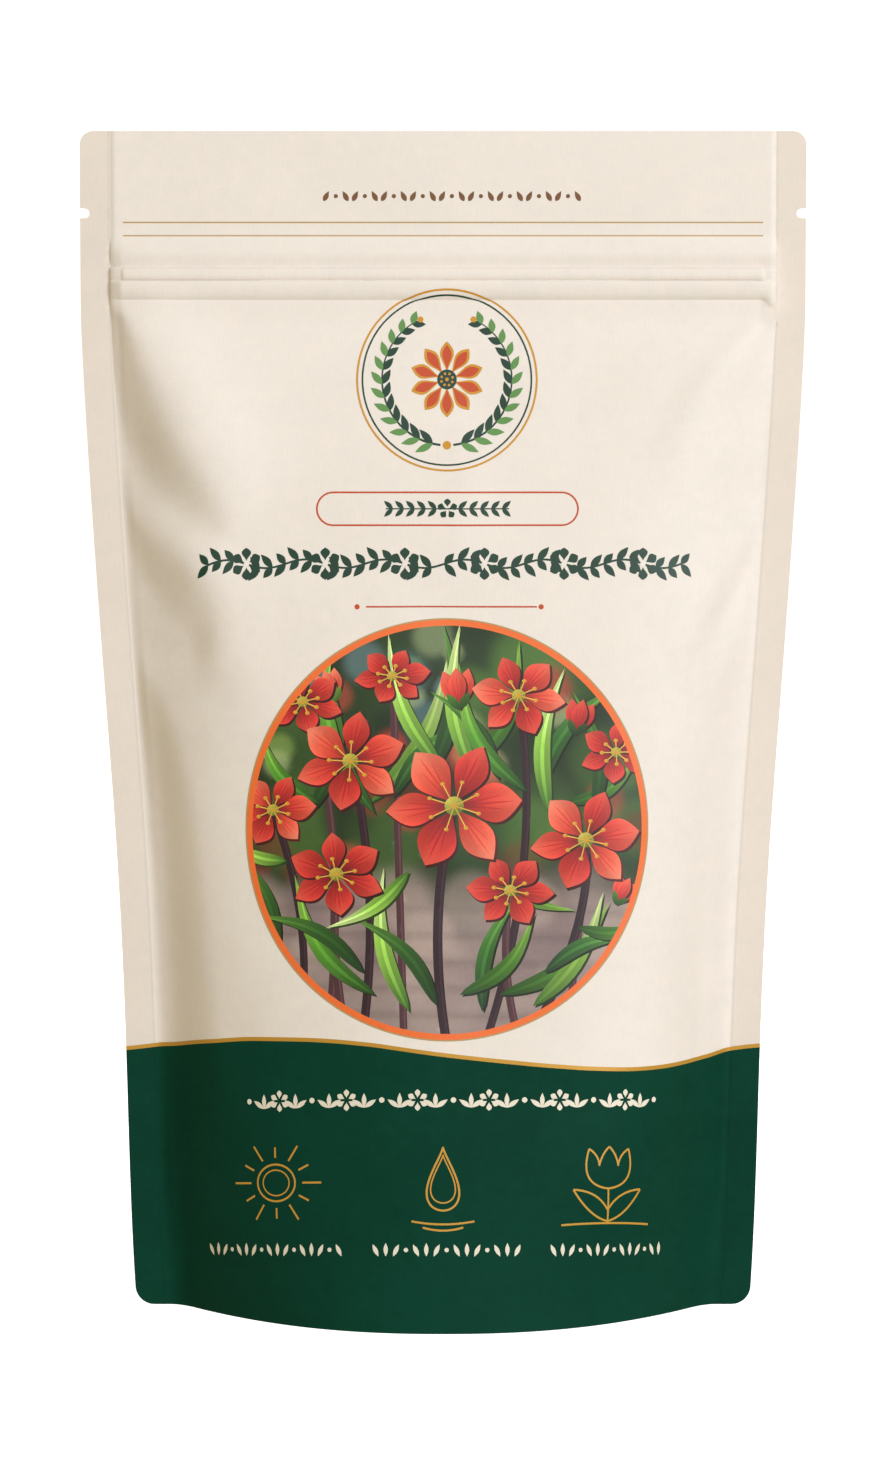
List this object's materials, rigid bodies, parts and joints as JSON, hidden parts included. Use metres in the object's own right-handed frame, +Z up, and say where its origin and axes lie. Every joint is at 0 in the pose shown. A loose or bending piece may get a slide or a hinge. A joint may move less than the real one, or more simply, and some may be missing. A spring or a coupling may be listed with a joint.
{
  "type": "stand-up seed pouch",
  "caption": "Closed, filled stand-up seed pouch: welded film panels, press-to-close zip, tear notches and a folded gusset open into an oval base.",
  "frame": {"origin": "middle of the base, on the surface that the pouch stands on", "axes": "+Z up to the top edge, -Y out of the printed front panel, +X to the right seen from the front"},
  "size_m": [0.13, 0.0558, 0.213],
  "materials": {
    "front_film": "matte laminate film with a paper-like fibre texture, cream above a wavy gold line and dark green below",
    "back_film": "matte laminate film, cream above and dark green below",
    "gusset_film": "matte laminate film, dark green",
    "zip_plastic": "milky polyethylene",
    "seed_coat": "dry matte brown seed coat"
  },
  "bodies": {
    "root": {"front_panel": "front_film", "back_panel": "back_film", "bottom_gusset": "gusset_film", "zip_rib_strip": "zip_plastic", "zip_groove_strip": "zip_plastic", "seed_scoop": "seed_coat"}
  },
  "joints": []
}
